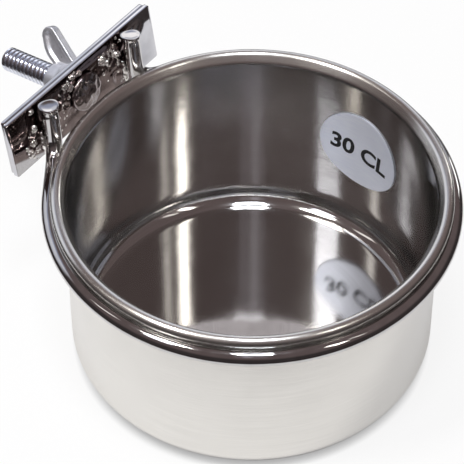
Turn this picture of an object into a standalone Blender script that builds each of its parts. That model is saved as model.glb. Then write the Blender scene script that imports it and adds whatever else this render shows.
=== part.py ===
"""Clamp-on steel feeding cup: a pressed cup that hangs by its rolled rim in a wire ring,
with a two-plate clamp, a bolt and a wing nut behind it.

Metres, +Z up. The origin is the centre of the cup's flat base, and the clamp is towards +Y.
"""
import math

import bmesh
import bpy
from mathutils import Matrix, Vector

MM = 0.001

# Cup: one sheet of stainless steel.
CUP_INNER_RADIUS = 43.9 * MM
CUP_HEIGHT = 51.2 * MM
CUP_SHEET = 0.7 * MM
CUP_CORNER_RADIUS = 5.1 * MM
FLARE_ANGLE = math.radians(36)
FLARE_BEND_RADIUS = 0.8 * MM
FLARE_LENGTH = 1.7 * MM
BEAD_DIAMETER = 2.9 * MM
CURL_OPENING = math.radians(91)

# Holder: one wire, a ring with both ends turned up as posts.
WIRE_DIAMETER = 4.1 * MM
RING_CLEARANCE = 1.3 * MM
POST_SPACING = 31.0 * MM
POST_BEND_RADIUS = 5.0 * MM
POST_LENGTH = 14.4 * MM
POST_LEAN = math.radians(4.5)
POST_END_SWELL = 0.35 * MM
POST_END_LENGTH = 1.2 * MM

# Clamp plates.
CLAMP_LEAN = math.radians(8.5)
PLATE_WIDTH = 53.5 * MM
BACK_PLATE_WIDTH = 52.5 * MM
PLATE_HEIGHT = 16.0 * MM
PLATE_THICKNESS = 1.1 * MM
PLATE_CORNER_RADIUS = 0.6 * MM
PLATE_RISE = 6.5 * MM

# Bolt, a quarter inch with 20 threads to the inch.
BOLT_DIAMETER = 6.0 * MM
THREAD_PITCH = 1.27 * MM
THREAD_DEPTH = 0.62 * MM
BOLT_REACH = 25.3 * MM
BOLT_CHAMFER = 0.8 * MM
BOLT_HEAD_LIP = 2.0 * MM
BOLT_HEAD_CROWN = 1.5 * MM
BOLT_HEAD_EDGE = 0.5 * MM

# Wing nut.
NUT_WALL = 0.8 * MM
NUT_TAPER = 2.2 * MM
NUT_HEIGHT = 7.6 * MM
NUT_EDGE = 0.4 * MM
WING_THICKNESS = 2.2 * MM
WING_REACH = 6.3 * MM
WING_TIP_RISE = 4.6 * MM
WING_TIP_RADIUS = 2.2 * MM
WING_BOW = 0.75 * MM
WING_EDGE = 0.4 * MM
NUT_TURN = math.radians(28)

# Capacity label on the inside wall, a little above the middle of the straight part.
LABEL_DIAMETER = 23.6 * MM
LABEL_THICKNESS = 0.2 * MM
LABEL_RAISE = 1.1 * MM
LABEL_ANGLE = math.radians(-1.5)

# Clearances.
SEAT_GAP = 0.3 * MM
POST_CLEARANCE = 0.7 * MM
WELD_GAP = 0.5 * MM
HOLE_CLEARANCE = 0.3 * MM
NUT_CLEARANCE = 0.15 * MM
LABEL_GAP = 0.12 * MM

# Facets of the round shapes.
CUP_STEPS = 72
RING_STEP_ANGLE = math.radians(5)
WIRE_BEVEL_RESOLUTION = 4
BOLT_STEPS = 24
THREAD_ROWS = 6
ROUND_STEPS = 32

# The middle of the cup's sheet: wall, corner, flare bend, straight flare and rim curl.
CUP_MID_RADIUS = CUP_INNER_RADIUS + CUP_SHEET / 2
CORNER_MID_RADIUS = CUP_CORNER_RADIUS + CUP_SHEET / 2
BEND_MID_RADIUS = FLARE_BEND_RADIUS + CUP_SHEET / 2
CURL_MID_RADIUS = (BEAD_DIAMETER - CUP_SHEET) / 2
BEND_WIDTH = BEND_MID_RADIUS * (1 - math.cos(FLARE_ANGLE))
BEND_RISE = BEND_MID_RADIUS * math.sin(FLARE_ANGLE)
FLARE_WIDTH = FLARE_LENGTH * math.sin(FLARE_ANGLE)
FLARE_RISE = FLARE_LENGTH * math.cos(FLARE_ANGLE)
BEAD_RADIUS = BEAD_DIAMETER / 2
BEAD_CENTRE_RADIUS = CUP_MID_RADIUS + BEND_WIDTH + FLARE_WIDTH + CURL_MID_RADIUS * math.cos(FLARE_ANGLE)
BEAD_CENTRE_HEIGHT = CUP_HEIGHT - BEAD_RADIUS
RIM_OUTER_RADIUS = BEAD_CENTRE_RADIUS + BEAD_RADIUS
WALL_BOTTOM = CUP_SHEET + CUP_CORNER_RADIUS
WALL_TOP = BEAD_CENTRE_HEIGHT + CURL_MID_RADIUS * math.sin(FLARE_ANGLE) - FLARE_RISE - BEND_RISE

# The ring goes round the cup's wall with room to lift the cup out.
WIRE_RADIUS = WIRE_DIAMETER / 2
RING_RADIUS = CUP_INNER_RADIUS + CUP_SHEET + RING_CLEARANCE + WIRE_RADIUS
POST_X = POST_SPACING / 2

# The nut and the bolt's head grow with the bolt.
BOLT_RADIUS = BOLT_DIAMETER / 2
BOLT_HEAD_RADIUS = BOLT_RADIUS + BOLT_HEAD_LIP
NUT_TOP_RADIUS = BOLT_RADIUS + NUT_WALL
NUT_BASE_RADIUS = NUT_TOP_RADIUS + NUT_TAPER

# The rim bead rests on the ring, one seat gap away from it.
SEAT_REACH = BEAD_RADIUS + WIRE_RADIUS + SEAT_GAP
RING_HEIGHT = BEAD_CENTRE_HEIGHT - math.sqrt(SEAT_REACH ** 2 - (RING_RADIUS - BEAD_CENTRE_RADIUS) ** 2)

# Each post clears the bead where it passes it, and leans back from there.
POST_CLEAR_RADIUS = RIM_OUTER_RADIUS + WIRE_RADIUS + POST_CLEARANCE
POST_Y_AT_BEAD = math.sqrt(POST_CLEAR_RADIUS ** 2 - POST_X ** 2)
POST_Y_AT_RING = POST_Y_AT_BEAD - (BEAD_CENTRE_HEIGHT - RING_HEIGHT) * math.tan(POST_LEAN)
POST_UP = Vector((0, math.sin(POST_LEAN), math.cos(POST_LEAN)))
POST_FOOT = Vector((0, POST_Y_AT_RING, RING_HEIGHT))

# The front plate stands against the feet of the posts and leans back more than they do.
LEAN_UP = Vector((0, math.sin(CLAMP_LEAN), math.cos(CLAMP_LEAN)))
LEAN_OUT = Vector((0, math.cos(CLAMP_LEAN), -math.sin(CLAMP_LEAN)))
CLAMP_CENTRE = POST_FOOT + LEAN_OUT * (WIRE_RADIUS + WELD_GAP) + LEAN_UP * PLATE_RISE
JAW_FACE_Y = PLATE_THICKNESS + SEAT_GAP
NUT_SEAT_Y = JAW_FACE_Y + PLATE_THICKNESS + SEAT_GAP


def clear_scene():
    """Removes every object that the scene starts with."""
    for obj in list(bpy.data.objects):
        bpy.data.objects.remove(obj, do_unlink=True)


def new_collection(name):
    collection = bpy.data.collections.new(name)
    bpy.context.scene.collection.children.link(collection)
    return collection


def metal(name, colour, roughness, metallic=1.0):
    """A plain Principled material."""
    material = bpy.data.materials.new(name)
    material.use_nodes = True
    shader = material.node_tree.nodes["Principled BSDF"]
    shader.inputs["Base Color"].default_value = (*colour, 1.0)
    shader.inputs["Roughness"].default_value = roughness
    shader.inputs["Metallic"].default_value = metallic
    return material


def add_object(name, data, collection, material=None, parent=None):
    obj = bpy.data.objects.new(name, data)
    collection.objects.link(obj)
    obj.parent = parent
    if material:
        data.materials.append(material)
    return obj


def add_empty(name, collection, location, rotation=(0, 0, 0)):
    obj = add_object(name, None, collection)
    obj.location = location
    obj.rotation_euler = rotation
    obj.empty_display_size = 10 * MM
    return obj


def smooth(mesh, angle=math.radians(30)):
    mesh.shade_smooth()
    mesh.set_sharp_from_angle(angle=angle)


def mesh_from_bmesh(bm, name):
    mesh = bpy.data.meshes.new(name)
    bm.to_mesh(mesh)
    bm.free()
    return mesh


def mesh_of(obj, name):
    """The evaluated shape of an object as a new welded mesh."""
    bpy.context.view_layer.update()
    evaluated = obj.evaluated_get(bpy.context.evaluated_depsgraph_get())
    mesh = bpy.data.meshes.new_from_object(evaluated)
    mesh.name = name
    bm = bmesh.new()
    bm.from_mesh(mesh)
    bmesh.ops.remove_doubles(bm, verts=bm.verts, dist=0.001 * MM)
    bmesh.ops.recalc_face_normals(bm, faces=bm.faces)
    bm.to_mesh(mesh)
    bm.free()
    return mesh


def arc(centre, radius, start, end, steps):
    """Points on a circle, from one angle to another, both ends included."""
    points = []
    for i in range(steps + 1):
        angle = start + (end - start) * i / steps
        points.append((centre[0] + radius * math.cos(angle), centre[1] + radius * math.sin(angle)))
    return points


def profile_mesh(name, points):
    """A polyline in the XZ plane, ready for a Screw modifier."""
    mesh = bpy.data.meshes.new(name)
    vertices = [(r, 0.0, z) for r, z in points]
    edges = [(i, i + 1) for i in range(len(points) - 1)]
    mesh.from_pydata(vertices, edges, [])
    return mesh


def turn(obj, steps):
    """Turns a profile about its own Z axis."""
    screw = obj.modifiers.new("turn", "SCREW")
    screw.axis = "Z"
    screw.steps = steps
    screw.render_steps = steps
    screw.use_merge_vertices = True
    screw.merge_threshold = 0.00001
    screw.use_smooth_shade = True
    return screw


def cut(obj, cutter, operation="DIFFERENCE"):
    boolean = obj.modifiers.new(operation.lower(), "BOOLEAN")
    boolean.operation = operation
    boolean.solver = "EXACT"
    boolean.object = cutter


def hide_cutter(obj):
    obj.hide_render = True
    obj.display_type = "WIRE"


def sheet_side(offset):
    """One side of the cup's sheet, from the axis out to the end of the rim curl.

    offset is half the sheet, positive for the inside face and negative for the outside face.
    """
    quarter = math.radians(90)
    flare = 2 * quarter - FLARE_ANGLE
    curl_end = flare - 4 * quarter + CURL_OPENING
    corner = (CUP_MID_RADIUS - CORNER_MID_RADIUS, WALL_BOTTOM)
    bend = (CUP_MID_RADIUS + BEND_MID_RADIUS, WALL_TOP)
    bead = (BEAD_CENTRE_RADIUS, BEAD_CENTRE_HEIGHT)

    points = [(0.0, CUP_SHEET / 2 + offset)]
    points += arc(corner, CORNER_MID_RADIUS - offset, -quarter, 0, 6)
    points += arc(bend, BEND_MID_RADIUS + offset, 2 * quarter, flare, 3)
    points += arc(bead, CURL_MID_RADIUS + offset, flare, curl_end, 12)
    return points


def make_cup(collection, material):
    """The sheet's inside face runs out from the axis and its outside face runs back."""
    inside = sheet_side(CUP_SHEET / 2)
    outside = sheet_side(-CUP_SHEET / 2)
    cup = add_object("cup", profile_mesh("cup", inside + outside[::-1]), collection, material)
    turn(cup, CUP_STEPS)
    return cup


def fillet(before, corner, after, radius, steps):
    """Points that round the corner between two straight runs in space."""
    back = (before - corner).normalized()
    ahead = (after - corner).normalized()
    half = back.angle(ahead) / 2
    reach = radius / math.tan(half)
    centre = corner + (back + ahead).normalized() * (radius / math.sin(half))
    start = corner + back * reach - centre
    axis = start.cross(corner + ahead * reach - centre).normalized()
    sweep = math.pi - 2 * half
    return [centre + Matrix.Rotation(sweep * i / steps, 3, axis) @ start for i in range(steps + 1)]


def make_holder_ring(collection, material):
    """Half of the wire from its post top to the far side, then the other half mirrored."""
    foot = POST_FOOT + Vector((POST_X, 0, 0))
    top = foot + POST_UP * POST_LENGTH
    foot_reach = foot.xy.length
    leave = math.atan2(foot.y, foot.x) - math.acos(RING_RADIUS / foot_reach)
    ring_start = Vector((RING_RADIUS * math.cos(leave), RING_RADIUS * math.sin(leave), RING_HEIGHT))

    end_slope = POST_END_SWELL / WIRE_RADIUS
    half = [(top, 1 + end_slope)]
    half.append((top - POST_UP * POST_END_LENGTH / 2, 1 + end_slope))
    half.append((top - POST_UP * POST_END_LENGTH, 1.0))
    half += [(point, 1.0) for point in fillet(top, foot, ring_start, POST_BEND_RADIUS, 6)]

    sweep = leave + math.radians(90)
    steps = math.ceil(sweep / RING_STEP_ANGLE)
    for i in range(steps + 1):
        angle = leave - sweep * i / steps
        x = RING_RADIUS * math.cos(angle)
        y = RING_RADIUS * math.sin(angle)
        half.append((Vector((x, y, RING_HEIGHT)), 1.0))

    mirrored = [(Vector((-point.x, point.y, point.z)), size) for point, size in half[-2::-1]]
    path = half + mirrored

    curve = bpy.data.curves.new("holder_ring", "CURVE")
    curve.dimensions = "3D"
    curve.bevel_depth = WIRE_RADIUS
    curve.bevel_resolution = WIRE_BEVEL_RESOLUTION
    curve.use_fill_caps = True
    spline = curve.splines.new("POLY")
    spline.points.add(len(path) - 1)
    spline.use_smooth = True
    for point, (position, size) in zip(spline.points, path):
        point.co = (*position, 1.0)
        point.radius = size
    return add_object("holder_ring", curve, collection, material)


def rounded_rectangle(width, height, radius):
    x = width / 2 - radius
    y = height / 2 - radius
    quarter = math.radians(90)
    points = []
    for i, corner in enumerate(((x, y), (-x, y), (-x, -y), (x, -y))):
        points += arc(corner, radius, i * quarter, (i + 1) * quarter, 4)
    return points


def flat_curve(name, outlines, thickness):
    """A flat plate from closed outlines; an outline inside another one is a hole."""
    curve = bpy.data.curves.new(name, "CURVE")
    curve.dimensions = "2D"
    curve.fill_mode = "BOTH"
    curve.extrude = thickness / 2
    for outline in outlines:
        spline = curve.splines.new("POLY")
        spline.points.add(len(outline) - 1)
        for point, (x, y) in zip(spline.points, outline):
            point.co = (x, y, 0.0, 1.0)
        spline.use_cyclic_u = True
    return curve


def make_plate(name, width, near_y, collection, material, parent):
    """A jaw plate across the bolt, its near face at near_y behind the clamp's front face."""
    outline = rounded_rectangle(width, PLATE_HEIGHT, PLATE_CORNER_RADIUS)
    full = math.radians(360)
    hole = arc((0, 0), BOLT_RADIUS + HOLE_CLEARANCE, 0, full, ROUND_STEPS)[:-1]
    curve = flat_curve(name, [outline, hole], PLATE_THICKNESS)
    plate = add_object(name, curve, collection, material, parent)
    plate.location = (0, near_y + PLATE_THICKNESS / 2, 0)
    plate.rotation_euler = (math.radians(90), 0, 0)
    return plate


def thread_radius(angle, along, start, end):
    """Radius of the bolt at one point of its thread, a ridge that fades out at both ends."""
    turns = (along - start) / THREAD_PITCH - angle / math.radians(360)
    ridge = 1 - abs(2 * (turns % 1.0) - 1)
    fade = min(1.0, (along - start) / THREAD_PITCH, (end - along) / THREAD_PITCH)
    return BOLT_RADIUS - THREAD_DEPTH * (1 - ridge) * max(0.0, fade)


def make_clamp_bolt(collection, material, parent):
    """A turned bolt whose thread rows are then moved in to the thread's own radius.

    The bolt is turned about local Z, with the head's seat at zero and the thread above it.
    """
    thread_start = PLATE_THICKNESS
    thread_end = BOLT_REACH - BOLT_CHAMFER
    rows = round((thread_end - thread_start) / THREAD_PITCH * THREAD_ROWS)
    seat = -SEAT_GAP

    dome = (BOLT_HEAD_RADIUS ** 2 + BOLT_HEAD_CROWN ** 2) / (2 * BOLT_HEAD_CROWN)
    dome_angle = math.asin(BOLT_HEAD_RADIUS / dome)
    top = math.radians(90)

    points = [(0.0, BOLT_REACH), (BOLT_RADIUS - BOLT_CHAMFER, BOLT_REACH)]
    for i in range(rows + 1):
        points.append((BOLT_RADIUS, thread_end + (thread_start - thread_end) * i / rows))
    points.append((BOLT_RADIUS, seat))
    points.append((BOLT_HEAD_RADIUS, seat))
    dome_centre = (0.0, seat - BOLT_HEAD_EDGE - BOLT_HEAD_CROWN + dome)
    points += arc(dome_centre, dome, dome_angle - top, -top, 5)

    turned = add_object("bolt_turning", profile_mesh("bolt_turning", points), collection, None, parent)
    turn(turned, BOLT_STEPS)
    mesh = mesh_of(turned, "clamp_bolt")
    bpy.data.objects.remove(turned, do_unlink=True)

    for vertex in mesh.vertices:
        if thread_start < vertex.co.z < thread_end:
            angle = math.atan2(vertex.co.y, vertex.co.x)
            radius = thread_radius(angle, vertex.co.z, thread_start, thread_end)
            vertex.co.xy = (radius * math.cos(angle), radius * math.sin(angle))
    smooth(mesh)
    bolt = add_object("clamp_bolt", mesh, collection, material, parent)
    bolt.rotation_euler = (math.radians(-90), 0, 0)
    return bolt


def wing_outline():
    """One ear of the nut, seen flat: radius across, height along the bolt."""
    tip = (NUT_BASE_RADIUS + WING_REACH - WING_TIP_RADIUS, NUT_HEIGHT + WING_TIP_RISE - WING_TIP_RADIUS)
    root = NUT_TOP_RADIUS - (NUT_TOP_RADIUS - BOLT_RADIUS) / 2
    low = (NUT_BASE_RADIUS - NUT_EDGE, NUT_EDGE)
    high = (NUT_TOP_RADIUS, NUT_HEIGHT - NUT_EDGE)
    start = tangent_angles(low, tip, WING_TIP_RADIUS)[1] - math.radians(360)
    end = tangent_angles(high, tip, WING_TIP_RADIUS)[0]
    ear = arc(tip, WING_TIP_RADIUS, start, end, 10)
    back = bowed(ear[-1], high, WING_BOW, 6)
    return [(root, low[1]), low] + ear + back + [high, (root, high[1])]


def bowed(start, end, bow, steps):
    """Points between two ends on a shallow bow to the right of the way from one to the other."""
    run = Vector(end) - Vector(start)
    aside = Vector((run.y, -run.x)).normalized() * bow
    shares = [i / steps for i in range(1, steps)]
    points = [Vector(start) + run * share + aside * 4 * share * (1 - share) for share in shares]
    return [(point.x, point.y) for point in points]


def tangent_angles(point, centre, radius):
    """The two angles on a circle where a straight line from the point touches it."""
    dx = point[0] - centre[0]
    dy = point[1] - centre[1]
    away = math.atan2(dy, dx) % math.radians(360)
    swing = math.acos(radius / math.hypot(dx, dy))
    return away - swing, away + swing


def make_wing_nut(collection, cutters, material, parent):
    """A turned hub joined to two flat ears, bored through for the bolt."""
    bore = BOLT_RADIUS + NUT_CLEARANCE
    hub_points = [(bore, NUT_HEIGHT), (NUT_TOP_RADIUS - NUT_EDGE, NUT_HEIGHT)]
    hub_points += [(NUT_TOP_RADIUS, NUT_HEIGHT - NUT_EDGE), (NUT_BASE_RADIUS, NUT_EDGE)]
    hub_points += [(NUT_BASE_RADIUS - NUT_EDGE, 0.0), (bore, 0.0), (bore, NUT_HEIGHT)]
    nut = add_object("wing_nut", profile_mesh("wing_nut", hub_points), collection, material, parent)
    turn(nut, ROUND_STEPS)
    nut.location = (0, NUT_SEAT_Y, 0)
    stand_out = Matrix.Rotation(math.radians(-90), 3, "X")
    nut.rotation_euler = (Matrix.Rotation(NUT_TURN, 3, "Y") @ stand_out).to_euler()

    for side in (1, -1):
        outline = [(side * x, y) for x, y in wing_outline()]
        curve = flat_curve("ear_outline", [outline], WING_THICKNESS - 2 * WING_EDGE)
        curve.bevel_depth = WING_EDGE
        curve.bevel_resolution = 1
        curve.offset = -WING_EDGE
        flat = add_object("ear_outline", curve, cutters)
        ear = add_object("nut_ear", mesh_of(flat, "nut_ear"), cutters, None, nut)
        bpy.data.objects.remove(flat, do_unlink=True)
        ear.rotation_euler = (math.radians(90), 0, math.radians(-90))
        hide_cutter(ear)
        cut(nut, ear, "UNION")
    return nut


def make_capacity_label(collection, material):
    """A flat disc of rings, rolled to the wall's radius and thickened inwards."""
    rings = 5
    bm = bmesh.new()
    line = [bm.verts.new((LABEL_DIAMETER / 2 * i / rings, 0, 0)) for i in range(rings + 1)]
    edges = [bm.edges.new(pair) for pair in zip(line[:-1], line[1:])]
    bmesh.ops.spin(bm, geom=line + edges, axis=(0, 0, 1), angle=math.radians(360), steps=ROUND_STEPS)
    bmesh.ops.remove_doubles(bm, verts=bm.verts, dist=0.001 * MM)
    radius = CUP_INNER_RADIUS - LABEL_GAP
    middle = (WALL_BOTTOM + WALL_TOP) / 2 + LABEL_RAISE
    for vertex in bm.verts:
        angle = LABEL_ANGLE + vertex.co.x / radius
        height = middle + vertex.co.y
        vertex.co = (radius * math.cos(angle), radius * math.sin(angle), height)
    bmesh.ops.recalc_face_normals(bm, faces=bm.faces)
    if sum((face.normal.dot(face.calc_center_median()) for face in bm.faces)) > 0:
        bmesh.ops.reverse_faces(bm, faces=bm.faces)
    mesh = mesh_from_bmesh(bm, "capacity_label")
    smooth(mesh)
    label = add_object("capacity_label", mesh, collection, material)
    solid = label.modifiers.new("foil", "SOLIDIFY")
    solid.thickness = LABEL_THICKNESS
    solid.offset = 1.0
    solid.use_even_offset = False
    return label


def main():
    clear_scene()
    parts = new_collection("clamp_on_feeding_cup")
    cutters = new_collection("clamp_on_feeding_cup_cutters")

    stainless = metal("polished_stainless", (0.62, 0.61, 0.60), 0.16)
    chrome = metal("chromed_wire", (0.66, 0.66, 0.67), 0.08)
    chrome_plate = metal("chromed_plate", (0.62, 0.62, 0.64), 0.10)
    jaw_plate = metal("chromed_jaw", (0.60, 0.60, 0.62), 0.12)
    zinc = metal("zinc_bolt", (0.58, 0.59, 0.63), 0.22)
    cast = metal("cast_zinc", (0.52, 0.53, 0.55), 0.42)
    foil = metal("foil_label", (0.70, 0.72, 0.80), 0.35)

    make_cup(parts, stainless)
    make_capacity_label(parts, foil)
    make_holder_ring(parts, chrome)
    clamp_frame = add_empty("clamp_frame", parts, CLAMP_CENTRE, (-CLAMP_LEAN, 0, 0))
    make_plate("front_plate", PLATE_WIDTH, 0.0, parts, chrome_plate, clamp_frame)
    make_plate("back_plate", BACK_PLATE_WIDTH, JAW_FACE_Y, parts, jaw_plate, clamp_frame)
    make_clamp_bolt(parts, zinc, clamp_frame)
    make_wing_nut(parts, cutters, cast, clamp_frame)
    bpy.context.view_layer.update()


main()
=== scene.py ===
"""Look of the clamp-on steel feeding cup: finer pieces, materials, light and camera."""
import math
import random

import bmesh
import bpy
from mathutils import Matrix, Vector, noise


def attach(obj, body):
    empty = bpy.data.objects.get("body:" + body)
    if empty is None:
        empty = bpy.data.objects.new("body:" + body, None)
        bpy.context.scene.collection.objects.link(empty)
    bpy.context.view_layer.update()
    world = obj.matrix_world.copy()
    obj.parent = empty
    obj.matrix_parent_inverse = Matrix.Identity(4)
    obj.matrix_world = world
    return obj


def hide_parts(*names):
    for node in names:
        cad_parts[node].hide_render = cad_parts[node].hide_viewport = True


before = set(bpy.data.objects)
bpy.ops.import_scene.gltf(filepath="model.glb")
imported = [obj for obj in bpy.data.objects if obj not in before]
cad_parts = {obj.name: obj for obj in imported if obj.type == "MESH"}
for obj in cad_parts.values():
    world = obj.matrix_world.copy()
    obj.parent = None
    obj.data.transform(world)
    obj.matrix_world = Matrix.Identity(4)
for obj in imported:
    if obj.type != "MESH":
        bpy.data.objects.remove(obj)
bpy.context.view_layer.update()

MM = 0.001
# Points nearer than this become one, in millimetres and in units of the font
SAME_POINT = 0.0005
SAME_TEXT_POINT = 0.0001

# Cup, in millimetres
CUP_INNER_RADIUS = 43.9
CUP_HEIGHT = 51.2
CUP_SHEET = 0.7
CUP_CORNER_RADIUS = 5.1
FLARE_ANGLE = math.radians(36)
FLARE_BEND_RADIUS = 0.8
FLARE_LENGTH = 1.7
BEAD_DIAMETER = 2.9
CURL_OPENING = math.radians(91)

# Rows of faces in the cup's section: floor radii, then heights above and below the bends of the wall
FLOOR_STOPS = (0, 4, 10, 16, 22, 28, 33, 36.5, 38, 38.5, 38.7)
BEND_ROWS = (0.1, 0.5)
FIRST_WALL_ROW = 0.6
WALL_ROWS = 16
CORNER_STEPS = 18
FLARE_STEPS = 8
CURL_STEPS = 30
CUP_STEPS = 240

# Wire ring and posts, in millimetres
WIRE_RADIUS = 2.05
WIRE_SIDES = 28
WIRE_LUMPS = 0.012
WIRE_LUMP_SIZE = 2.2
RING_RADIUS = 47.95
RING_HEIGHT = 46.2992
RING_STEP = math.radians(2)
POST_X = 15.5
POST_FOOT_Y = 47.8526
POST_LEAN = math.radians(4.5)
POST_BEND_RADIUS = 5.0
POST_BEND_STEPS = 14
POST_LENGTH = 14.4
POST_ROWS = (3, 6)
POST_END_SWELL = 0.4
RIGHT_END_TILT = Vector((0.09, 0.06, 0))

# Clamp, in millimetres
CLAMP_LEAN = math.radians(8.5)
CLAMP_CENTRE = Vector((0, 51.3354, 52.3509))
SEAT_GAP = 0.3
PLATE_WIDTH = 53.5
BACK_PLATE_WIDTH = 52.5
PLATE_HEIGHT = 16.0
PLATE_THICKNESS = 1.1
PLATE_CORNER_RADIUS = 0.6
PLATE_EDGE = 0.14
INNER_EDGE = 0.05
HOLE_RADIUS = 3.3
HOLE_SIDES = 48
JAW_FACE_Y = 1.4
NUT_SEAT_Y = 2.8
# Share of a rounded edge's inset that is left at its middle
EDGE_MIDDLE = 0.3
# Each plate is this much thicker than in the CAD, into the gap between the two, so that they nearly touch
GAP_FILL = 0.09

# Weld beads beside the posts, in millimetres. Runs: mark, shift from the post, start and end above the foot
WELD_RUNS = (("a", -1.5, 0.6, 7.5), ("b", 1.5, 0.4, 8.5))
BEAD_RADIUS = 0.78
BEAD_DEPTH = -0.55
BEAD_STEPS = 22
BEAD_SIDES = 14
BEAD_END = 0.12
BEAD_WANDER = 0.18
BEAD_WANDER_GRAIN = 0.9
BEAD_LUMPS = 0.55
BEAD_LUMP_SIZE = 0.8
# Shift to another part of the noise, so that a bead wanders differently in each direction
OTHER_NOISE = Vector((7, 3, 1))

# Weld splashes on the front plate, in millimetres: name, place across and up, half width and height, lift
SPLASHES = (("weld_splash_left", -POST_X - 0.5, -2.6, 5.6, 4.6, 1.0),
            ("weld_splash_right", POST_X - 2.2, -1.6, 5.4, 5.4, 1.0),
            ("weld_splash_middle", -5.2, 1.0, 5.2, 5.6, 0.9))
SPLASH_RINGS = 26
SPLASH_SIDES = 56
SPLASH_RAGGED = 0.16
SPLASH_EDGE_GRAIN = (2.3, 2.7)
SPLASH_EDGE_SLICES = (0, 5)
SPLASH_SLICE = 2.0
SPLASH_GRAIN = 1.5
SPLASH_MEAN = 0.45
SPLASH_LUMPS = 0.9
SPLASH_THINNEST = 0.12
SPLASH_SEAT = 0.06
SPLASH_CROWN = 0.05
SPLASH_ROOT = 0.4
SPLASH_LIMIT = 7.6

# Weld drops on the front plate, in millimetres: middles of their clusters, across and up
SPATTER_PLACES = ((-POST_X - 2.5, -1.5), (-POST_X + 3.0, -3.0), (POST_X - 3.0, 0.0), (POST_X - 2.6, -4.0),
                  (-5.5, 2.5), (-3.5, 4.5), (POST_X - 4.0, 3.2), (POST_X - 6.5, 1.0), (-8.0, 0.5),
                  (-POST_X - 5.5, -4.0), (-POST_X + 5.0, -5.0))
SPATTER_SEED = 7
SPATTER_DROPS = 14
SPATTER_SPREAD = (1.5, 2.0)
SPATTER_LIMIT = 7.4
DROP_SIZES = (0.16, 0.60)
DROP_SHRINK = (0.6, 1.0)
DROP_FLATNESS = 0.55
DROP_LENGTH = 1.2
DROP_RAISE = 0.02

# Weld lumps on the front plate, in millimetres: place across and up, radius
WELD_LUMPS = ((-3.2, 6.6, 0.9), (-0.6, 5.9, 0.8), (-4.6, 4.2, 1.0), (-6.3, 5.6, 0.8), (-5.8, 2.2, 0.8),
              (7.4, 4.0, 1.2), (9.0, 2.4, 0.8), (12.6, 2.4, 1.0), (12.4, 0.2, 0.9), (-18.6, 1.5, 0.9),
              (-19.8, -2.1, 1.0), (-18.8, -4.2, 0.9), (-21.1, -4.6, 1.0), (-18.4, 6.6, 0.7))
LUMP_GRAIN = 0.55
LUMP_UNEVENNESS = 0.45
LUMP_FLATNESS = 0.75
LUMP_RAISE = 0.05

# Bolt, in millimetres
BOLT_RADIUS = 3.0
THREAD_PITCH = 1.27
THREAD_DEPTH = 0.38
THREAD_CREST = 0.6
BOLT_REACH = 25.3
BOLT_CHAMFER = 0.8
NOSE_SLOPE = 1.1
HEAD_RADIUS = 5.0
HEAD_CROWN = 1.0
HEAD_EDGE = 0.5
HEAD_CHAMFER = 0.2
HEAD_LUMPS = 0.32
HEAD_LUMP_GRAIN = 0.75
HEAD_SWELL = 0.1
CROWN_ROWS = 12
BOLT_SIDES = 56
ROWS_PER_PITCH = 14

# Wing nut, in millimetres
NUT_BORE = 3.15
BORE_CHAMFER = 0.3
NUT_TOP_RADIUS = 3.8
NUT_BASE_RADIUS = 6.0
NUT_HEIGHT = 7.6
NUT_EDGE = 0.4
WAIST_SWELL = 0.45
WAIST_HEIGHT = NUT_HEIGHT * 0.55
NUT_SIDES = 64
WING_THICKNESS = 2.4
WING_RIM = 1.15
WING_RECESS = 0.75
RECESS_SLOPE = 0.35
WING_TIP = (10.1, 10.0)
WING_TIP_RADIUS = 2.2
WING_TIP_STEPS = 24
WING_BOW = 0.75
WING_BOW_STEPS = 12
NUT_TURN = math.radians(28)
CAST_GRID = 0.17
CAST_SOFTNESS = 0.5
CAST_PASSES = 22

# Label, in millimetres
LABEL_RADIUS = 11.8
LABEL_THICKNESS = 0.2
LABEL_EDGE = 0.08
LABEL_GAP = 0.12
LABEL_HEIGHT = 28.17
LABEL_ANGLE = math.radians(-1.5)
LABEL_TILT = math.radians(-5)
LABEL_RINGS = 16
LABEL_SIDES = 96
CREASE_DEPTH = 0.02
CREASE_SIZE = (6, 3)
CREASE_SLICE = 0.5
LABEL_TEXT = "30 CL"
TEXT_WIDTH = 17.4
TEXT_DROP = 0.6
TEXT_RAISE = 0.03
TEXT_ROOT = 0.01
# In units of the font, before the figures are scaled to their width
TEXT_EXTRUDE = 0.01
TEXT_BOLDNESS = 0.028
TEXT_CURVE_STEPS = 8

# Colours of the materials, dark and light
INNER_STEEL = ((0.53, 0.52, 0.51), (0.60, 0.59, 0.58))
# The outside is lighter and warmer than the inside of the same sheet: a painted sheen of the pale floor it
# mirrors
OUTER_STEEL_WITH_SHEEN = ((0.75, 0.735, 0.70), (0.81, 0.795, 0.76))
ZINC = ((0.70, 0.73, 0.82), (0.80, 0.83, 0.92))
# Dark brown painted on the bolt's head: a painted dark reflection like the front plate's
PAINTED_DARK_ZINC = ((0.24, 0.20, 0.20), (0.40, 0.36, 0.36))
CASTING = ((0.60, 0.61, 0.66), (0.74, 0.75, 0.80))
FOIL = ((0.77, 0.82, 0.97), (0.84, 0.89, 1.0))
INK = ((0.006, 0.006, 0.009), (0.014, 0.014, 0.018))
PAPER = ((0.86, 0.86, 0.86), (0.90, 0.90, 0.90))

# Mean colours of the platings, and a dark brown painted on the front plate's face as a painted dark
# reflection
RING_TONE = (0.56, 0.55, 0.55)
PLATE_TONE = (0.62, 0.62, 0.65)
JAW_TONE = (0.58, 0.58, 0.60)
# The weld metal is a lighter copy of the plating, so its drops and beads show painted glints
WELD_TONE_WITH_GLINT = (0.90, 0.87, 0.85)
PAINTED_DARK_REFLECTION = (0.17, 0.135, 0.132)

# The Mix node's sockets for colours: share, first and second colour, and the result
MIX_INPUTS = (0, 6, 7)
MIX_OUTPUT = 2

# Range in which most noise values lie
NOISE_LOW = 0.3
NOISE_HIGH = 0.7

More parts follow.
